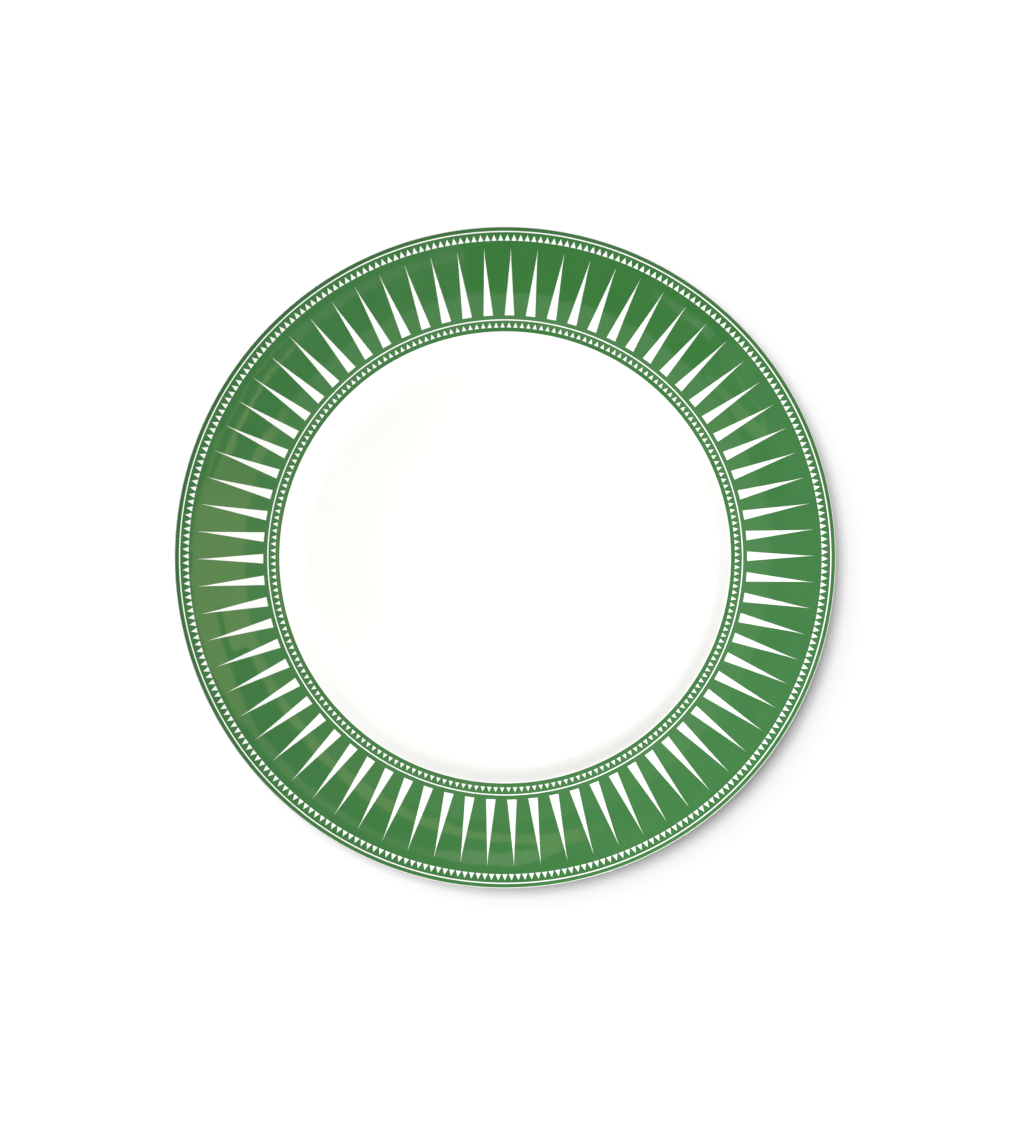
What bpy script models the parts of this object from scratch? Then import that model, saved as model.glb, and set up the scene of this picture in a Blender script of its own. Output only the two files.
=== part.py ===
"""China dinner plate: a turned porcelain body, the glaze fused over it and the ceramic prints on the glaze.

Metres, +Z up. The plate stands on its foot ring, and the origin is the ring's centre on the table.
Every turned piece follows one outline of the glazed surface, sunk below it or raised above it.
"""

from math import ceil, pi, radians, sin, sqrt, tan

import bmesh
import bpy
from mathutils import Matrix, Vector

# Sizes of the glazed plate. A radius is measured from the plate's axis.
PLATE_RADIUS = 0.135  # to the outermost point of the lip
WELL_RADIUS = 0.0924  # to the verge, where the wall of the well would meet the rim in a sharp corner
WELL_DEPTH = 0.0063  # from the verge down to the floor
FLOOR_THICKNESS = 0.0048
WALL_ANGLE = radians(42)  # slope of the wall of the well
RIM_ANGLE = radians(9.0)  # slope of the rim's face at the verge
LIP_ANGLE = radians(12.6)  # its slope at the lip, so the rim is slightly hollow
RIM_BACK_ANGLE = radians(12.5)  # slope of the rim's back
LIP_THICKNESS = 0.0032
BACK_ANGLE = radians(33)  # slope of the plate's back between the foot ring and the rim
COVE_FILLET = 0.015  # between the floor and the wall
VERGE_FILLET = 0.003
HAUNCH_FILLET = 0.010  # on the back, under the verge

# The foot ring that the plate stands on.
FOOT_OUTSET = 0.0035  # from the edge of the flat floor out to the ring's outer side
FOOT_WIDTH = 0.0040
FOOT_HEIGHT = 0.0025  # depth of the recess inside the ring
FOOT_SIDE = 0.0020  # height of the ring's outer side
FOOT_FILLET = 0.0006  # where the ring grows out of the plate
BEARING_FILLET = 0.0004  # on the two edges that touch the table

# The fused layers. Neighbours keep a gap, as separate solids must.
GLAZE = 0.0003
PRINT = 0.0002
GAP = 0.0003
GLAZE_STOP = 0.0010  # height above the table where the glaze is wiped off the foot ring

# The prints: three rings of green parted by two bare lines.
LIP_BARE = 0.0006  # white edge left outside the green
LIP_BAND = 0.00115
OUTER_LINE = 0.00075
INNER_LINE = 0.00065
WELL_BARE = 0.0005  # from the verge out to the first green
WELL_BAND = 0.0043

# The ring of bare rays in the widest print.
RAYS = 72
RAY_WIDTH = 0.0040  # across the base
RAY_BASE_SET = 0.0013  # from the inner bare line out to the rays' bases
RAY_TIP_SET = 0.0065  # from the outer bare line in to the rays' tips
RAY_TURN = radians(0.3)  # where the first ray points, from +X
RAY_STRETCH = radians(1.45)  # how far the hand-laid transfer has crept round the plate on each side

FACETS = 60
ARC_TURN = radians(30)  # the most that one chord of a fillet turns
ARC_RUN = 0.020  # and the longest that it is


def crossing(point, angle, other, other_angle):
    """Where two sloping lines of the section meet, each given by a point and its slope."""
    rise = other.y - point.y - (other.x - point.x) * tan(other_angle)
    run = rise / (tan(angle) - tan(other_angle))
    return Vector((point.x + run, point.y + run * tan(angle)))


def solid_side(start, end):
    """Unit normal of a straight run, pointing into the china. Runs go out over the face and back underneath."""
    along = (end - start).normalized()
    return Vector((along.y, -along.x))


def sunk(corners, depth):
    """The run of (corner, fillet) pairs moved into the china by depth, or out of it if depth is negative."""
    moved = []
    for index, (corner, fillet) in enumerate(corners):
        before = corners[max(index - 1, 0)][0]
        after = corners[min(index + 1, len(corners) - 1)][0]
        if index == 0:
            before = corner + corner - after
        if index == len(corners) - 1:
            after = corner + corner - before
        first, second = solid_side(before, corner), solid_side(corner, after)
        mitre = (first + second) / (1 + first.dot(second))
        turns_inward = first.cross(second) < 0
        moved.append((corner + depth * mitre, fillet + (-depth if turns_inward else depth)))
    return moved


def rounded(corners):
    """The points of a run of (corner, fillet) pairs, with an arc at each corner between its two ends."""
    points = [corners[0][0]]
    for (before, _), (corner, fillet), (after, _) in zip(corners, corners[1:], corners[2:]):
        first, second = solid_side(before, corner), solid_side(corner, after)
        turn = first.angle_signed(second)
        side = 1 if turn > 0 else -1
        centre = corner + side * fillet * (first + second) / (1 + first.dot(second))
        steps = ceil(max(abs(turn) / ARC_TURN, abs(turn) * fillet / ARC_RUN))
        for step in range(steps + 1):
            spoke = Matrix.Rotation(-turn * step / steps, 2) @ first
            point = centre - side * fillet * spoke
            if (point - points[-1]).length > 1e-6:
                points.append(point)
    return points + [corners[-1][0]]


def plate_section():
    """The glazed surface as two runs of (corner, fillet) pairs: face to foot, then the recess inside the foot."""
    floor_top = FOOT_HEIGHT + FLOOR_THICKNESS
    verge = Vector((WELL_RADIUS, floor_top + WELL_DEPTH))
    wall_foot = Vector((WELL_RADIUS - WELL_DEPTH / tan(WALL_ANGLE), floor_top))
    half_rim = (PLATE_RADIUS - WELL_RADIUS) / 2
    rim_bend = verge + Vector((half_rim, half_rim * tan(RIM_ANGLE)))
    lip_top = rim_bend + Vector((half_rim, half_rim * tan(LIP_ANGLE)))
    lip_bottom = lip_top - Vector((0, LIP_THICKNESS))
    # The lip is a full round: its two arcs meet halfway down the rim's edge.
    lip_setback = tan(pi / 4 + LIP_ANGLE / 2)
    lip_fillet = LIP_THICKNESS / (lip_setback + tan(pi / 4 - RIM_BACK_ANGLE / 2))
    # The hollow of the rim sweeps as far as the larger of its neighbours' fillets lets it.
    verge_run = VERGE_FILLET * tan((WALL_ANGLE - RIM_ANGLE) / 2)
    sweep_run = half_rim - max(verge_run, lip_fillet * lip_setback)
    rim_sweep = sweep_run / tan((LIP_ANGLE - RIM_ANGLE) / 2)
    foot_outer = wall_foot.x - COVE_FILLET * tan(WALL_ANGLE / 2) + FOOT_OUTSET
    foot_inner = foot_outer - FOOT_WIDTH
    shoulder = Vector((foot_outer, FOOT_SIDE))
    haunch = crossing(lip_bottom, RIM_BACK_ANGLE, shoulder, BACK_ANGLE)
    face = [
        (Vector((0, floor_top)), 0),
        (wall_foot, COVE_FILLET),
        (verge, VERGE_FILLET),
        (rim_bend, rim_sweep),
        (lip_top, lip_fillet),
        (lip_bottom, lip_fillet),
        (haunch, HAUNCH_FILLET),
        (shoulder, FOOT_FILLET),
        (Vector((foot_outer, GLAZE_STOP)), 0),
    ]
    recess = [
        (Vector((foot_inner, GLAZE_STOP)), 0),
        (Vector((foot_inner, FOOT_HEIGHT)), FOOT_FILLET),
        (Vector((0, FOOT_HEIGHT)), 0),
    ]
    return face, recess


def make_collection(name):
    collection = bpy.data.collections.new(name)
    bpy.context.scene.collection.children.link(collection)
    return collection


def make_material(name, color, roughness):
    material = bpy.data.materials.new(name)
    material.use_nodes = True
    shader = material.node_tree.nodes["Principled BSDF"]
    shader.inputs["Base Color"].default_value = (*color, 1)
    shader.inputs["Roughness"].default_value = roughness
    shader.inputs["Metallic"].default_value = 0
    return material


def turned(name, outline, closed, material, collection):
    """A piece turned about the plate's axis from an outline that runs out over its top and back underneath."""
    count = len(outline)
    edges = [(index, (index + 1) % count) for index in range(count if closed else count - 1)]
    mesh = bpy.data.meshes.new(name)
    mesh.from_pydata([(point.x, 0, point.y) for point in outline], edges, [])
    mesh.materials.append(material)
    piece = bpy.data.objects.new(name, mesh)
    collection.objects.link(piece)
    turn = piece.modifiers.new("turn", "SCREW")
    turn.axis = "Z"
    turn.angle = 2 * pi
    turn.steps = turn.render_steps = FACETS
    turn.use_merge_vertices = True
    turn.merge_threshold = 0.00001
    turn.use_smooth_shade = True
    return piece


def porcelain_body(face, recess, collection):
    """The biscuit-fired clay. Only the foot ring's bearing and the bottom of its sides stay unglazed."""
    depth = GLAZE + GAP
    upper, lower = sunk(face, depth), sunk(recess, depth)
    outer, inner = upper[-1][0].x, lower[0][0].x
    bearing = [(Vector((outer, 0)), BEARING_FILLET), (Vector((inner, 0)), BEARING_FILLET)]
    outline = rounded(upper[:-1] + bearing + lower[1:])
    return turned("porcelain_body", outline, False, make_material("biscuit", (0.80, 0.77, 0.71), 0.7), collection)


def glaze_coats(face, recess, collection):
    """Clear glaze over the face, the lip and the back down to the foot, and a second pool inside the foot."""
    glaze = make_material("glaze", (0.90, 0.90, 0.88), 0.08)
    over_face = rounded(face) + rounded(sunk(face, GLAZE))[::-1]
    turned("face_glaze", over_face, False, glaze, collection)
    in_recess = rounded(sunk(recess, GLAZE))[::-1] + rounded(recess)
    turned("recess_glaze", in_recess, False, glaze, collection)


def place_along(outline, radius):
    """How far along an outline, counted in its points, it first reaches a radius."""
    for index, (here, there) in enumerate(zip(outline, outline[1:])):
        if here.x <= radius < there.x:
            return index + (radius - here.x) / (there.x - here.x)
    raise ValueError("the outline never reaches that radius")


def print_ring(name, inner, outer, face, material, collection):
    """A ring of printed colour that lies on the face between two radii."""
    glazed = rounded(face)
    start, end = place_along(glazed, inner), place_along(glazed, outer)
    places = [start, *range(int(start) + 1, ceil(end)), end]
    levels = []
    for height in (GAP + PRINT, GAP):
        raised = rounded(sunk(face, -height))
        levels.append([raised[int(place)].lerp(raised[int(place) + 1], place % 1) for place in places])
    return turned(name, levels[0] + levels[1][::-1], True, material, collection)


def ray_cutter(base, tip, height, collection):
    """One mesh of three-sided prisms, each as deep as the plate, with its point towards the lip."""
    shape = bmesh.new()
    length = tip - base
    size = Matrix.Diagonal((RAY_WIDTH / sqrt(3), length / 1.5, 2 * height, 1))
    out = Matrix.Translation((0, base + length / 3, 0))
    for index in range(RAYS):
        even = RAY_TURN + index * 2 * pi / RAYS
        turn = Matrix.Rotation(even - RAY_STRETCH * sin(even) - pi / 2, 4, "Z")
        bmesh.ops.create_cone(
            shape, cap_ends=True, segments=3, radius1=1, radius2=1, depth=1, matrix=turn @ out @ size
        )
    mesh = bpy.data.meshes.new("ray_cutter")
    shape.to_mesh(mesh)
    shape.free()
    cutter = bpy.data.objects.new("ray_cutter", mesh)
    collection.objects.link(cutter)
    cutter.hide_render = True
    cutter.display_type = "WIRE"
    return cutter


def prints(face, collection, cutters):
    """Three green rings fired onto the glaze. The bare lines between them part one from the next."""
    green = make_material("green_print", (0.07, 0.24, 0.07), 0.12)
    lip_outer = PLATE_RADIUS - LIP_BARE
    lip_inner = lip_outer - LIP_BAND
    ray_outer = lip_inner - OUTER_LINE
    well_inner = WELL_RADIUS + WELL_BARE
    well_outer = well_inner + WELL_BAND
    ray_inner = well_outer + INNER_LINE
    print_ring("lip_band_print", lip_inner, lip_outer, face, green, collection)
    print_ring("well_border_print", well_inner, well_outer, face, green, collection)
    ray_band = print_ring("ray_band_print", ray_inner, ray_outer, face, green, collection)
    lip_height = max(corner.y for corner, _ in face)
    cut = ray_band.modifiers.new("rays", "BOOLEAN")
    cut.operation = "DIFFERENCE"
    cut.solver = "EXACT"
    cut.object = ray_cutter(ray_inner + RAY_BASE_SET, ray_outer - RAY_TIP_SET, 2 * lip_height, cutters)


for leftover in list(bpy.data.objects):
    bpy.data.objects.remove(leftover)
parts = make_collection("china_dinner_plate")
tools = make_collection("cutters")
face_run, recess_run = plate_section()
porcelain_body(face_run, recess_run, parts)
glaze_coats(face_run, recess_run, parts)
prints(face_run, parts, tools)
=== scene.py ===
from math import ceil, cos, pi, radians, sin, tan

import bmesh
import bpy
from mathutils import Matrix, Vector


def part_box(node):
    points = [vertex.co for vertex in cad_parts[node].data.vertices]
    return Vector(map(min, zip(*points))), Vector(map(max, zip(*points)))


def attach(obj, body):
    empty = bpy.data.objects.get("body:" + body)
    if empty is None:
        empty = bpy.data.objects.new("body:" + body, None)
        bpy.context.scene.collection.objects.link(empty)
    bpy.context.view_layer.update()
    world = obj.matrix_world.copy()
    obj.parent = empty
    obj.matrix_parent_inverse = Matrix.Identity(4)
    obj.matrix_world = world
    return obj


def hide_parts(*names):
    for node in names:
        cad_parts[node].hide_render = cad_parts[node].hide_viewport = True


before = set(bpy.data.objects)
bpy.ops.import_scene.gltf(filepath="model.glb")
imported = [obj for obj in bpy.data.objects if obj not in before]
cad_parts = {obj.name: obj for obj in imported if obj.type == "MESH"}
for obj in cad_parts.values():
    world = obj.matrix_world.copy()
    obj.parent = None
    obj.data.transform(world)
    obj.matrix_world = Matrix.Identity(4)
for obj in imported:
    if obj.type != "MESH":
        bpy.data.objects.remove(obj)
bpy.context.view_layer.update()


# ---------------------------------------------------------------------------------- porcelain body
# One piece of hard porcelain, roller-pressed to a section, fettled and fired to biscuit. All of it
# is under glaze but the foot ring, which is wiped and ground: dry, fine-grained and a little warm.

# Sizes are in metres and slopes are up from level, on the glazed section.
PLATE_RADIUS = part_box("face_glaze")[1].x
WELL_RADIUS = 0.0924
WELL_DEPTH = 0.0063
FLOOR_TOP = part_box("recess_glaze")[1].z + 0.0045
WALL_ANGLE = radians(42)
RIM_ANGLE = radians(9.0)
LIP_ANGLE = radians(12.6)
RIM_BACK_ANGLE = radians(12.5)
LIP_THICKNESS = 0.0032
BACK_ANGLE = radians(33)
COVE_FILLET = 0.015
VERGE_FILLET = 0.003
HAUNCH_FILLET = 0.010
FOOT_OUTSET = 0.0035
FOOT_WIDTH = 0.0040
FOOT_HEIGHT = 0.0025
FOOT_SIDE = 0.0020
FOOT_FILLET = 0.0006
BEARING_FILLET = 0.0004
GLAZE_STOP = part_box("face_glaze")[0].z
UNDER_GLAZE = 0.00018
ARC_STEP = radians(5)
ARC_CHORD = 0.0025
TURN_STEPS = 480


def solid_side(start, end):
    """Unit normal of a straight run of the section, pointing into the china."""
    along = (end - start).normalized()
    return Vector((along.y, -along.x))


def crossing(point, angle, other, other_angle):
    """Where two sloping lines of the section meet, each given by a point and its slope."""
    rise = other.y - point.y - (other.x - point.x) * tan(other_angle)
    run = rise / (tan(angle) - tan(other_angle))
    return Vector((point.x + run, point.y + run * tan(angle)))


def sunk(corners, depth):
    """A run of (corner, fillet) pairs moved into the china by depth, or out of it if depth is negative."""
    moved = []
    for index, (corner, fillet) in enumerate(corners):
        before = corners[max(index - 1, 0)][0]
        after = corners[min(index + 1, len(corners) - 1)][0]
        if index == 0:
            before = corner + corner - after
        if index == len(corners) - 1:
            after = corner + corner - before
        first, second = solid_side(before, corner), solid_side(corner, after)
        mitre = (first + second) / (1 + first.dot(second))
        turns_inward = first.cross(second) < 0
        moved.append((corner + depth * mitre, fillet + (-depth if turns_inward else depth)))
    return moved


def rounded(corners):
    """The points of a run of (corner, fillet) pairs, with each fillet's arc in short chords."""
    points = [corners[0][0]]
    for (before, _), (corner, fillet), (after, _) in zip(corners, corners[1:], corners[2:]):
        first, second = solid_side(before, corner), solid_side(corner, after)
        turn = first.angle_signed(second)
        side = 1 if turn > 0 else -1
        centre = corner + side * fillet * (first + second) / (1 + first.dot(second))
        steps = ceil(max(abs(turn) / ARC_STEP, abs(turn) * fillet / ARC_CHORD))
        for step in range(steps + 1):
            spoke = Matrix.Rotation(-turn * step / steps, 2) @ first
            point = centre - side * fillet * spoke
            if (point - points[-1]).length > 1e-6:
                points.append(point)
    return points + [corners[-1][0]]


verge = Vector((WELL_RADIUS, FLOOR_TOP + WELL_DEPTH))
wall_foot = Vector((WELL_RADIUS - WELL_DEPTH / tan(WALL_ANGLE), FLOOR_TOP))
half_rim = (PLATE_RADIUS - WELL_RADIUS) / 2
rim_bend = verge + Vector((half_rim, half_rim * tan(RIM_ANGLE)))
lip_top = rim_bend + Vector((half_rim, half_rim * tan(LIP_ANGLE)))
lip_bottom = lip_top - Vector((0, LIP_THICKNESS))
lip_setback = tan(pi / 4 + LIP_ANGLE / 2)
lip_fillet = LIP_THICKNESS / (lip_setback + tan(pi / 4 - RIM_BACK_ANGLE / 2))
verge_run = VERGE_FILLET * tan((WALL_ANGLE - RIM_ANGLE) / 2)
rim_sweep = (half_rim - max(verge_run, lip_fillet * lip_setback)) / tan((LIP_ANGLE - RIM_ANGLE) / 2)
foot_outer = wall_foot.x - COVE_FILLET * tan(WALL_ANGLE / 2) + FOOT_OUTSET
foot_inner = foot_outer - FOOT_WIDTH
shoulder = Vector((foot_outer, FOOT_SIDE))

face_run = [
    (Vector((0, FLOOR_TOP)), 0),
    (wall_foot, COVE_FILLET),
    (verge, VERGE_FILLET),
    (rim_bend, rim_sweep),
    (lip_top, lip_fillet),
    (lip_bottom, lip_fillet),
    (crossing(lip_bottom, RIM_BACK_ANGLE, shoulder, BACK_ANGLE), HAUNCH_FILLET),
    (shoulder, FOOT_FILLET),
    (Vector((foot_outer, GLAZE_STOP)), 0),
]
recess_run = [
    (Vector((foot_inner, GLAZE_STOP)), 0),
    (Vector((foot_inner, FOOT_HEIGHT)), FOOT_FILLET),
    (Vector((0, FOOT_HEIGHT)), 0),
]


def settle(piece, sharp=radians(40)):
    """Turns a piece's modifiers into plain mesh, smooth but for its sharp edges."""
    graph = bpy.context.evaluated_depsgraph_get()
    mesh = bpy.data.meshes.new_from_object(piece.evaluated_get(graph))
    piece.modifiers.clear()
    piece.data = mesh
    mesh.shade_smooth()
    mesh.set_sharp_from_angle(angle=sharp)


def turned(name, outline, closed=False):
    """A piece turned about the plate's axis, from an outline out over its top and back below."""
    count = len(outline)
    edges = [(index, (index + 1) % count) for index in range(count if closed else count - 1)]
    mesh = bpy.data.meshes.new(name)
    mesh.from_pydata([(point.x, 0, point.y) for point in outline], edges, [])
    piece = bpy.data.objects.new(name, mesh)
    bpy.context.scene.collection.objects.link(piece)
    turn = piece.modifiers.new("turn", "SCREW")
    turn.angle = 2 * pi
    turn.steps = turn.render_steps = TURN_STEPS
    turn.use_merge_vertices = True
    turn.merge_threshold = 0.00001
    settle(piece)
    return piece


def colour(hex_digits):
    """An sRGB colour such as 367237, as the linear values that a shader takes."""
    linear = []
    for place in (0, 2, 4):
        share = int(hex_digits[place : place + 2], 16) / 255
        linear.append(share / 12.92 if share <= 0.04045 else ((share + 0.055) / 1.055) ** 2.4)
    return linear + [1]


def add(material, kind, settings=None, **links):
    """Adds a node. Settings go on the node; an input named by a link takes a value or another output."""
    made = material.node_tree.nodes.new("ShaderNode" + kind)
    for name, value in (settings or {}).items():
        setattr(made, name, value)
    for name, value in links.items():
        socket = made.inputs[name.replace("_", " ")]
        if isinstance(value, bpy.types.NodeSocket):
            material.node_tree.links.new(value, socket)
        else:
            socket.default_value = value
    return made


def start_material(name):
    """A new material with no nodes in it yet."""
    material = bpy.data.materials.new(name)
    material.use_nodes = True
    material.node_tree.nodes.clear()
    return material


biscuit = start_material("unglazed_biscuit_porcelain")
where = add(biscuit, "TexCoord").outputs["Object"]
# Fired grain is about 0.05 mm, drawn at 0.4 mm so that it shows.
grain = add(biscuit, "TexNoise", Vector=where, Scale=1 / 0.0004, Detail=3.0)
# Soft stains of a few millimetres, where hands and kiln furniture have touched the dry clay.
stain = add(biscuit, "TexNoise", Vector=where, Scale=1 / 0.006, Detail=2.0)
tone = add(biscuit, "ValToRGB", Fac=stain.outputs[0])
tone.color_ramp.elements[0].position = 0.35
tone.color_ramp.elements[0].color = colour("E3DCCE")
tone.color_ramp.elements[1].position = 0.65
tone.color_ramp.elements[1].color = colour("EFEBE1")
relief = add(biscuit, "Bump", Height=grain.outputs[0], Strength=0.6, Distance=0.00003)
shader = add(
    biscuit, "BsdfPrincipled", Base_Color=tone.outputs["Color"], Normal=relief.outputs["Normal"],
    Roughness=0.62, IOR=1.5
)
add(biscuit, "OutputMaterial", Surface=shader.outputs["BSDF"])

# The body lies just under its glaze, and comes down between the two glazes to stand on the table.
upper = sunk(face_run, UNDER_GLAZE)
lower = sunk(recess_run, UNDER_GLAZE)
bearing = [(Vector((run[end][0].x, 0)), BEARING_FILLET) for run, end in ((upper, -1), (lower, 0))]
body = turned("biscuit_body", rounded(upper[:-1] + bearing + lower[1:]))
body.data.materials.append(biscuit)
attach(body, "root")
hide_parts("porcelain_body")


# ------------------------------------------------------------------------------------- glaze coats
# A clear feldspar glaze fused over white china, 0.15 mm thick. It is poured on and levels as it
# melts, so it is glass-smooth with a slow ripple that bends the reflections, and it looks white.

GLAZE = 0.00015
RIPPLE_SPACING = 0.009
RIPPLE_HEIGHT = 0.000006
GLAZE_ROUGHNESS = 0.02
GLAZE_IOR = 1.5

glazed_china = start_material("glazed_white_china")
where = add(glazed_china, "TexCoord").outputs["Object"]
ripple = add(glazed_china, "TexNoise", Vector=where, Scale=1 / RIPPLE_SPACING, Detail=1.0)
relief = add(glazed_china, "Bump", Height=ripple.outputs[0], Strength=1.0, Distance=RIPPLE_HEIGHT)
# Where it pooled a little thicker, over a few centimetres, the glaze is a shade cooler.
pool = add(glazed_china, "TexNoise", Vector=where, Scale=1 / 0.040, Detail=2.0)
tone = add(glazed_china, "ValToRGB", Fac=pool.outputs[0])
tone.color_ramp.elements[0].position = 0.3
tone.color_ramp.elements[0].color = colour("F3F3F0")
tone.color_ramp.elements[1].position = 0.7
tone.color_ramp.elements[1].color = colour("F7F6F3")
shader = add(
    glazed_china, "BsdfPrincipled", Base_Color=tone.outputs["Color"], Normal=relief.outputs["Normal"],
    Roughness=GLAZE_ROUGHNESS, IOR=GLAZE_IOR
)
add(glazed_china, "OutputMaterial", Surface=shader.outputs["BSDF"])

face_skin = rounded(face_run)
face_under = rounded(sunk(face_run, GLAZE))
face_coat = turned("face_glaze_coat", face_skin + face_under[::-1])
recess_coat = turned("recess_glaze_coat", rounded(sunk(recess_run, GLAZE))[::-1] + rounded(recess_run))
for coat, node in ((face_coat, "face_glaze"), (recess_coat, "recess_glaze")):
    coat.data.materials.append(glazed_china)
    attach(coat, "root")
    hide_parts(node)


# ---------------------------------------------------------------------------------------- lip band
# The outermost ring of a green ceramic transfer, screen-printed on paper and slid onto the rim by
# hand, then fired into the glaze. It wraps over the roll of the lip and leaves the edge white.

PRINT_PROUD = 0.00003
PRINT_SUNK = 0.00003
LIP_BARE = 0.0004
LIP_BAND = 0.0015

lip_outer = PLATE_RADIUS - LIP_BARE
lip_inner = lip_outer - LIP_BAND

# The ink melts to a glossy glass of its own, and looks a little uneven where it lay thinner.
green_print = start_material("green_ceramic_print")
where = add(green_print, "TexCoord").outputs["Object"]
# The printing screen's grain is about 0.1 mm, drawn at 0.5 mm so that it shows.
screen = add(green_print, "TexNoise", Vector=where, Scale=1 / 0.0005, Detail=2.0)
# The ink film varies over a centimetre or so, thin and yellower to thick and deeper.
film = add(green_print, "TexNoise", Vector=where, Scale=1 / 0.012, Detail=3.0)
depth = add(
    green_print, "Mix", {"data_type": "FLOAT"}, Factor=0.35, A=film.outputs[0], B=screen.outputs[0]
)
tone = add(green_print, "ValToRGB", Fac=depth.outputs[0])
tone.color_ramp.elements[0].position = 0.3
tone.color_ramp.elements[0].color = colour("367237")
tone.color_ramp.elements[1].position = 0.7
tone.color_ramp.elements[1].color = colour("3D773C")
# The ripple of the glaze runs on through the print.
ripple = add(green_print, "TexNoise", Vector=where, Scale=1 / RIPPLE_SPACING, Detail=1.0)
relief = add(green_print, "Bump", Height=ripple.outputs[0], Strength=1.0, Distance=RIPPLE_HEIGHT)
shader = add(
    green_print, "BsdfPrincipled", Base_Color=tone.outputs["Color"], Normal=relief.outputs["Normal"],
    Roughness=GLAZE_ROUGHNESS, IOR=GLAZE_IOR
)
add(green_print, "OutputMaterial", Surface=shader.outputs["BSDF"])


def place_along(outline, radius):
    """How far along an outline, counted in its points, it first reaches a radius."""
    for index, (here, there) in enumerate(zip(outline, outline[1:])):
        if here.x <= radius < there.x:
            return index + (radius - here.x) / (there.x - here.x)
    raise ValueError("the outline never reaches that radius")


def point_along(outline, place):
    """The point at such a place along an outline."""
    return outline[int(place)].lerp(outline[int(place) + 1], place % 1)


def print_ring(name, inner, outer, node):
    """A ring of fired colour on the face between two radii, its lower half sunk in the glaze."""
    start, end = place_along(face_skin, inner), place_along(face_skin, outer)
    places = [start, *range(int(start) + 1, ceil(end)), end]
    proud = rounded(sunk(face_run, -PRINT_PROUD))
    buried = rounded(sunk(face_run, PRINT_SUNK))
    top = [point_along(proud, place) for place in places]
    bottom = [point_along(buried, place) for place in places]
    ring = turned(name, top + bottom[::-1], closed=True)
    ring.data.materials.append(green_print)
    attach(ring, "root")
    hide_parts(node)
    return ring


lip_band = print_ring("lip_band", lip_inner, lip_outer, "lip_band_print")


# ---------------------------------------------------------------------------------------- ray band
# The wide ring of the transfer, between two white lines where nothing is printed. Its ink leaves 72
# rays bare that point to the lip, and under the outer line 300 small triangles.

OUTER_LINE = 0.0005
WELL_BARE = 0.0003
WELL_BAND = 0.0044
INNER_LINE = 0.0005

ray_outer = lip_inner - OUTER_LINE
well_inner = WELL_RADIUS + WELL_BARE
well_outer = well_inner + WELL_BAND
ray_inner = well_outer + INNER_LINE

# Slid round by hand while wet, the transfer has crept this far each way, so that its motifs stand
# closer together on one side of the plate.
CREEP = radians(1.13)


def leave_bare(ring, motifs):
    """Cuts bare points out of a print, each motif all the way round.

    A motif is (count, first turn, side), and its side is (radius, half width) from base to tip.
    """
    shape = bmesh.new()
    for count, first, side in motifs:
        outline = side + [(radius, -half) for radius, half in side[-2::-1]]
        for index in range(count):
            even = first + index * 2 * pi / count
            turn = Matrix.Rotation(even - CREEP * sin(even), 4, "Z")
            low, high = [
                [shape.verts.new(turn @ Vector((radius, half, height))) for radius, half in outline]
                for height in (0, 2 * lip_top.y)
            ]
            shape.faces.new(low)
            shape.faces.new(high[::-1])
            for here in range(len(outline)):
                shape.faces.new((low[here - 1], high[here - 1], high[here], low[here]))
    bmesh.ops.recalc_face_normals(shape, faces=shape.faces)
    cutter = bpy.data.objects.new("cutter", bpy.data.meshes.new("cutter"))
    shape.to_mesh(cutter.data)
    shape.free()
    bpy.context.scene.collection.objects.link(cutter)
    cut = ring.modifiers.new("cut", "BOOLEAN")
    cut.operation = "DIFFERENCE"
    cut.solver = "EXACT"
    cut.object = cutter
    settle(ring)
    bpy.data.objects.remove(cutter)


# A ray narrows evenly from its base, then runs on as a thread to its tip.
ray_base = (ray_inner + 0.0016, 0.00195)
ray_neck = (ray_outer - 0.0103, 0.00017)
ray_tip = (ray_outer - 0.0061, 0)
rays = (72, radians(0.295), [ray_base, ray_neck, ray_tip])
triangle_base = (ray_outer - 0.0034, 0.0011)
triangle_tip = (ray_outer - 0.0009, 0)
triangles = (300, radians(0.98), [triangle_base, triangle_tip])
ray_band = print_ring("ray_band", ray_inner, ray_outer, "ray_band_print")
leave_bare(ray_band, [rays, triangles])


# ------------------------------------------------------------------------------------- well border
# The innermost ring of the transfer, at the verge of the well. Its ink leaves 225 small triangles
# bare that point outwards to the inner white line.

point_base = (well_inner + 0.0016, 0.0009)
point_tip = (well_outer - 0.0008, 0)
points = (225, radians(0.74), [point_base, point_tip])
well_border = print_ring("well_border", well_inner, well_outer, "well_border_print")
leave_bare(well_border, [points])


# ------------------------------------------------------------------------------ table and lighting
# A plain matt table under soft light from all round. Two soft suns at the back left light only the
# table, for the plate's short shadow to the front right, and three soft lights light only the plate.

TABLE_REACH = 9.0
bpy.ops.mesh.primitive_plane_add(size=2 * TABLE_REACH)
table = bpy.context.object
table.name = "table"
# Uncoated paper, with no gloss to mirror the plate.
paper = start_material("white_paper")
shader = add(paper, "BsdfPrincipled", Base_Color=colour("AAAAAA"), Roughness=1.0, Specular_IOR_Level=0.0)
add(paper, "OutputMaterial", Surface=shader.outputs["BSDF"])
table.data.materials.append(paper)

WORLD_STRENGTH = 0.34
world = bpy.data.worlds.new("pale_studio")
world.use_nodes = True
bpy.context.scene.world = world
world.node_tree.nodes["Background"].inputs["Color"].default_value = colour("FFFFFF")
world.node_tree.nodes["Background"].inputs["Strength"].default_value = WORLD_STRENGTH

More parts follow.
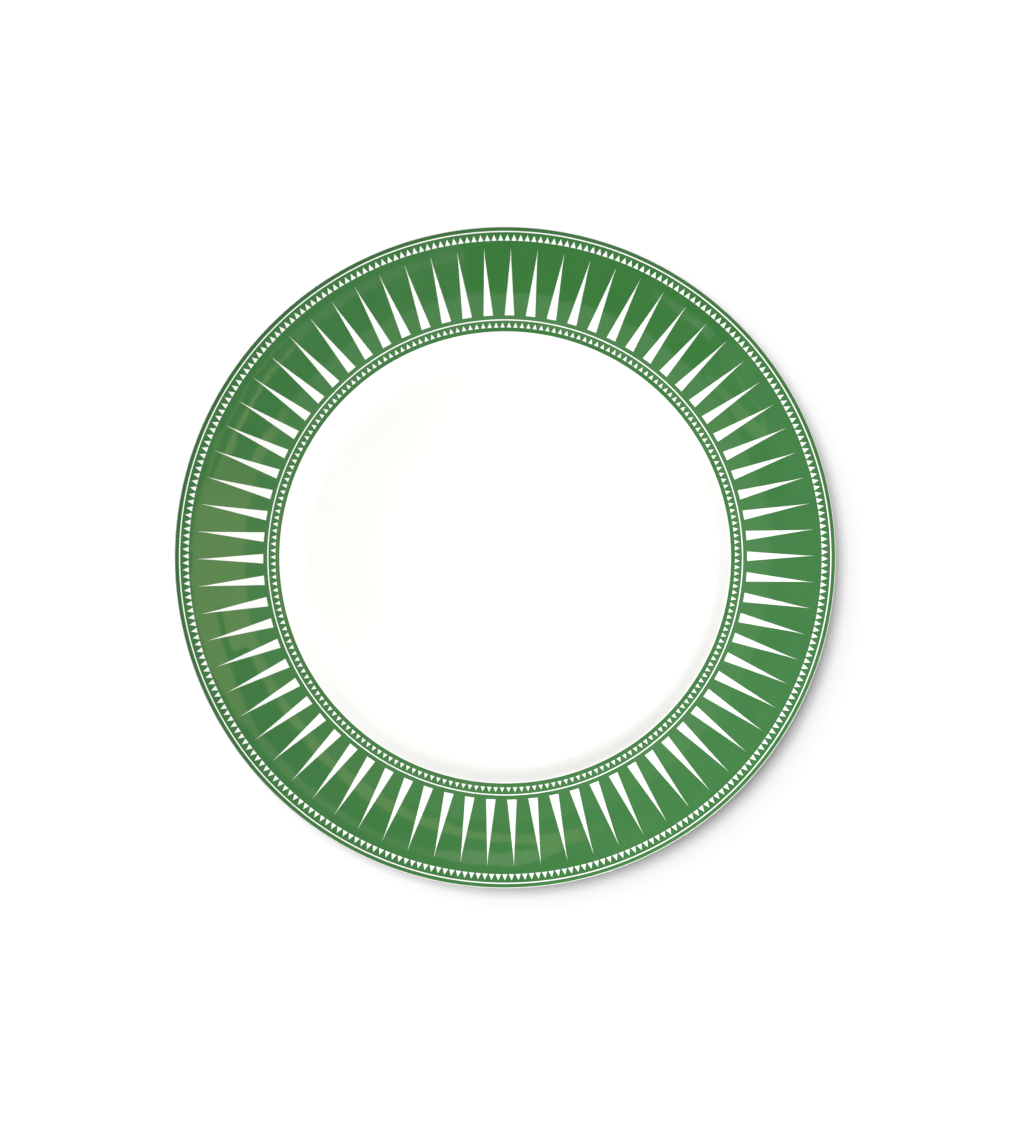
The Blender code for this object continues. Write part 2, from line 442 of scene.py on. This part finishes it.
lit_table = bpy.data.collections.new("lit_table")
lit_table.objects.link(table)
lit_plate = bpy.data.collections.new("lit_plate")
for piece in (body, face_coat, recess_coat, lip_band, ray_band, well_border):
    lit_plate.objects.link(piece)


def add_light(kind, name, location, target, receivers, **settings):
    """A light that only the receivers take, aimed at a target and hidden from the camera."""
    light = bpy.data.lights.new(name, kind)
    for setting, value in settings.items():
        setattr(light, setting, value)
    lamp = bpy.data.objects.new(name, light)
    bpy.context.scene.collection.objects.link(lamp)
    lamp.location = location
    lamp.rotation_euler = (target - lamp.location).to_track_quat("-Z", "Y").to_euler()
    lamp.visible_camera = False
    lamp.light_linking.receiver_collection = receivers
    return lamp


# The table's suns lean back from the way that the shadow falls.
SHADOW_WAY = radians(-34)
for name, lean, spread, energy in (
    ("strip_light", radians(15), radians(24), 5.1),
    ("strip_end", radians(32), radians(75), 2.8),
):
    way = Matrix.Rotation(SHADOW_WAY, 3, "Z") @ Vector((-sin(lean), 0, cos(lean)))
    add_light("SUN", name, way, Vector(), lit_table, energy=energy, angle=spread)

# The plate's lamps look at a low point a fifth of the way out to them.
TARGET_SHARE = 0.2
for name, turn, reach, height, watts, width in (
    ("front_light", radians(-60), 0.24, 0.30, 0.81, 0.14),
    ("back_light", radians(54), 0.13, 0.30, 0.31, 0.10),
):
    place = Vector((reach * cos(turn), reach * sin(turn), height))
    target = TARGET_SHARE * place
    lamp = add_light("AREA", name, place, target, lit_plate, energy=watts, size=width, shape="SQUARE")
    lamp.visible_glossy = False

SIDE_TURN = radians(-75)
SIDE_LEAN = radians(30)
way = Matrix.Rotation(SIDE_TURN, 3, "Z") @ Vector((sin(SIDE_LEAN), 0, cos(SIDE_LEAN)))
lamp = add_light("SUN", "side_light", way, Vector(), lit_plate, energy=0.72, angle=radians(50))
lamp.visible_glossy = False


# ------------------------------------------------------------------------------------------ camera
# A 100 mm lens high above the plate and 2.3 degrees to its left, looking down at it.
# Colours go straight to the picture, with no film curve.

LENS_DISTANCE = 1.2712
LEAN = radians(2.3)
AIM_POINT = Vector((0.00143, -0.00146, 0.0205))
camera = bpy.data.objects.new("camera", bpy.data.cameras.new("camera"))
bpy.context.scene.collection.objects.link(camera)
camera.data.lens = 100
camera.data.sensor_width = 36
camera.location = AIM_POINT + LENS_DISTANCE * Vector((-sin(LEAN), 0, cos(LEAN)))
camera.rotation_euler = (0, -LEAN, 0)
camera.data.clip_start = 0.05
camera.data.clip_end = 50.0
bpy.context.scene.camera = camera
bpy.context.scene.view_settings.view_transform = "Standard"


# --------------------------------------------------------------------------------------- reflectors
# Glowing cards over the plate, seen only in its gloss, for the window, doorway and walls of a room.
# Each is cut so that the camera sees it in the rim between two turns and two radii. A dim cloth
# hangs over them all.

REFLECTOR_HEIGHT = 0.9
CARD_COLUMNS = 96
CARD_ROWS = 6


def rim_mirror(turn, radius):
    """Where the glossy rim turns the camera's line of sight to, at the height of the reflectors."""
    place = place_along(face_skin, radius)
    here = point_along(face_skin, place)
    out = (here - point_along(face_under, place)).normalized()
    point = Vector((here.x * cos(turn), here.x * sin(turn), here.y))
    normal = Vector((out.x * cos(turn), out.x * sin(turn), out.y))
    onward = (point - camera.location).normalized().reflect(normal)
    return point + onward * (REFLECTOR_HEIGHT - point.z) / onward.z


def hide_but_in_gloss(thing):
    """Leaves a thing of the stage to be seen in reflections and nowhere else."""
    thing.visible_camera = False
    thing.visible_diffuse = False
    thing.visible_transmission = False
    thing.visible_shadow = False


def add_reflector(name, hex_digits, *stations):
    """A card through two or more stations, each (turn, inner radius, outer radius, glow).

    Turns are in degrees and radii in millimetres.
    """
    columns = CARD_COLUMNS // (len(stations) - 1)
    places, glows, faces = [], [], []
    for start, end in zip(stations, stations[1:]):
        for column in range(columns + 1):
            share = column / columns
            turn, inner, outer, glow = [a + share * (b - a) for a, b in zip(start, end)]
            for row in range(CARD_ROWS + 1):
                radius = inner + (outer - inner) * row / CARD_ROWS
                places.append(rim_mirror(radians(turn), radius / 1000))
                glows.append(glow)
                here = len(places) - 1
                if row and column:
                    before = here - CARD_ROWS - 1
                    faces.append((here, here - 1, before - 1, before))
    mesh = bpy.data.meshes.new(name)
    mesh.from_pydata(places, [], faces)
    mesh.attributes.new("glow", "FLOAT", "POINT").data.foreach_set("value", glows)
    card = bpy.data.objects.new(name, mesh)
    bpy.context.scene.collection.objects.link(card)
    shine = start_material(name)
    level = add(shine, "Attribute", {"attribute_name": "glow"})
    light = add(shine, "Emission", Color=colour(hex_digits), Strength=level.outputs["Fac"])
    add(shine, "OutputMaterial", Surface=light.outputs["Emission"])
    mesh.materials.append(shine)
    hide_but_in_gloss(card)


# The ceiling, in the flatter inner part of the rim.
CEILING = "EEFFEE"
add_reflector("overhead_back", CEILING, (-215, 94.7, 107.6, 0.95), (-420, 94.7, 108.2, 0.95))
add_reflector(
    "overhead_front", CEILING,
    (-60, 94.7, 108.4, 0.8), (-120, 94.7, 107.4, 0.7), (-215, 94.7, 106.3, 0.7)
)
# The wall at the right, and the dark doorway at the back.
WALL = "E8F0FF"
add_reflector("right_wall", WALL, (-75, 108.2, 132, 0.5), (12, 108.2, 132, 0.5))
add_reflector("wall_top", WALL, (12, 119.6, 132, 0.5), (30, 119.6, 132, 0.5), (47, 122, 126.5, 0.4))
add_reflector("doorway", "FFFFFF", (-316, 108.0, 132, 0.0), (-262, 108.0, 132, 0.0))
# The sunny window at the left, and the strips of light that run on from its panes.
SUNNY = "FFF3C4"
add_reflector(
    "window", SUNNY, (-199.5, 106.3, 123.5, 1.2), (-190, 106.3, 128.2, 1.7), (-170, 106.3, 129.5, 1.8)
)
add_reflector("window_low", SUNNY, (-170, 106.3, 117.2, 1.8), (-161, 106.3, 117.2, 1.8))
add_reflector(
    "window_high", SUNNY, (-170, 121, 129.5, 1.8), (-160, 121.7, 129.5, 1.8), (-149, 123.4, 128.4, 1.4)
)
add_reflector(
    "window_foot", SUNNY, (-199.5, 106.3, 110.8, 1.8), (-206, 106.3, 110, 1.7), (-214, 106.3, 109, 1.2)
)
add_reflector(
    "window_bar", SUNNY, (-199.5, 120.1, 123.3, 1.9), (-208, 120.7, 122.6, 2.2), (-226, 122.7, 123.7, 1.8)
)
add_reflector("window_head", SUNNY, (-190, 126.5, 128.0, 1.4), (-226, 126.5, 127.4, 1.0))
# The long streaks of daylight at the front.
DAYLIGHT = "FFF7CC"
add_reflector(
    "low_streak", DAYLIGHT,
    (-66, 115.6, 118.0, 0.4), (-73, 114.4, 119.8, 1.1), (-80, 114.2, 120.6, 1.5), (-85, 113.4, 117.1, 1.4)
)
add_reflector(
    "long_streak", DAYLIGHT,
    (-85, 113.4, 117.1, 1.4), (-100, 111.1, 114.8, 1.5), (-120, 108.5, 113.2, 1.6),
    (-140, 107.1, 110.5, 1.7), (-161, 106.3, 110.4, 1.8)
)
# The strips of lamplight near the lip, and the small lamps at the back right.
LAMPLIGHT = "FFFFEE"
add_reflector(
    "front_strip", LAMPLIGHT,
    (-79, 119.0, 122.3, 1.4), (-87, 121.2, 126.9, 1.4), (-97, 121.5, 126.9, 1.4), (-104, 123.7, 126.9, 1.3)
)
add_reflector(
    "front_strip_end", LAMPLIGHT,
    (-104, 123.9, 126.9, 0.6), (-125, 124.2, 127.0, 1.0), (-149, 123.4, 127.3, 1.1)
)
add_reflector("back_strip", "FFFFFF", (-226, 123.0, 127.0, 0.75), (-262, 123.2, 127.0, 0.65))
add_reflector(
    "spot", "FFFFFF", (-299, 122.8, 126.2, 0.6), (-306, 122.8, 126.4, 1.0), (-313, 122.2, 126.6, 1.6)
)
add_reflector(
    "hook_top", LAMPLIGHT,
    (-320.5, 119.4, 121.0, 1.3), (-330, 119.4, 121.2, 1.3), (-334.5, 115.8, 119.0, 1.2)
)
add_reflector(
    "hook_end", LAMPLIGHT,
    (-335, 112.4, 118.4, 1.2), (-331, 110.5, 116.0, 1.2),
    (-326, 109.5, 113.6, 1.1), (-318, 109.0, 111.0, 0.8)
)

FLAG_RADIUS = 0.62
FLAG_HEIGHT = 1.0
FLAG_GLOW = 0.3
bpy.ops.mesh.primitive_circle_add(
    vertices=64, radius=FLAG_RADIUS, fill_type="NGON", location=(0, 0, FLAG_HEIGHT)
)
flag = bpy.context.object
flag.name = "flag"
# Grey felt in room light: it keeps the gloss between the cards quiet.
felt = start_material("grey_felt")
glow = add(felt, "Emission", Color=colour(WALL), Strength=FLAG_GLOW)
add(felt, "OutputMaterial", Surface=glow.outputs["Emission"])
flag.data.materials.append(felt)
hide_but_in_gloss(flag)
